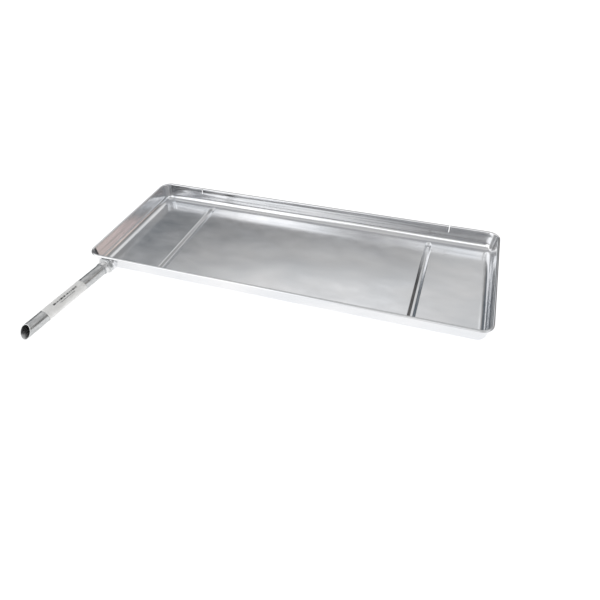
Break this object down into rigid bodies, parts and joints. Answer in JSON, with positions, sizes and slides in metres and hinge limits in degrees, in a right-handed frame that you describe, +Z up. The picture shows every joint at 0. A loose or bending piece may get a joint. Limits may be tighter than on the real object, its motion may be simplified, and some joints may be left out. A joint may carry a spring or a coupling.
{
  "type": "oil drain pan",
  "caption": "Long shallow pressed aluminium drain pan with a curled rim, two cross beads and a short drain tube fitted through its front wall near the left end.",
  "frame": {"origin": "on the plane the pan stands on (the flat bottoms of its two beads), below the middle of the floor", "axes": "+X along the pan towards its right end, +Y from the front wall, which has the drain, to the back wall, +Z up"},
  "size_m": [0.66, 0.4486, 0.034],
  "materials": {
    "pan_aluminium": "satin, mill-rolled sheet",
    "tube_aluminium": "drawn tube, satin",
    "spigot_aluminium": "turned, bright",
    "washer_aluminium": "stamped, bright",
    "nut_aluminium": "machined, satin",
    "fillet_metal": "matt, as it set",
    "gasket_rubber": "matt black",
    "label_paper": "smooth white, printed with plain bars"
  },
  "bodies": {
    "root": {"pan_body": "pan_aluminium", "sealing_gasket": "gasket_rubber", "drain_spigot": "spigot_aluminium", "outer_washer": "washer_aluminium", "lock_nut": "nut_aluminium", "drain_tube": "tube_aluminium", "solder_fillet": "fillet_metal", "tube_label": "label_paper"}
  },
  "joints": []
}
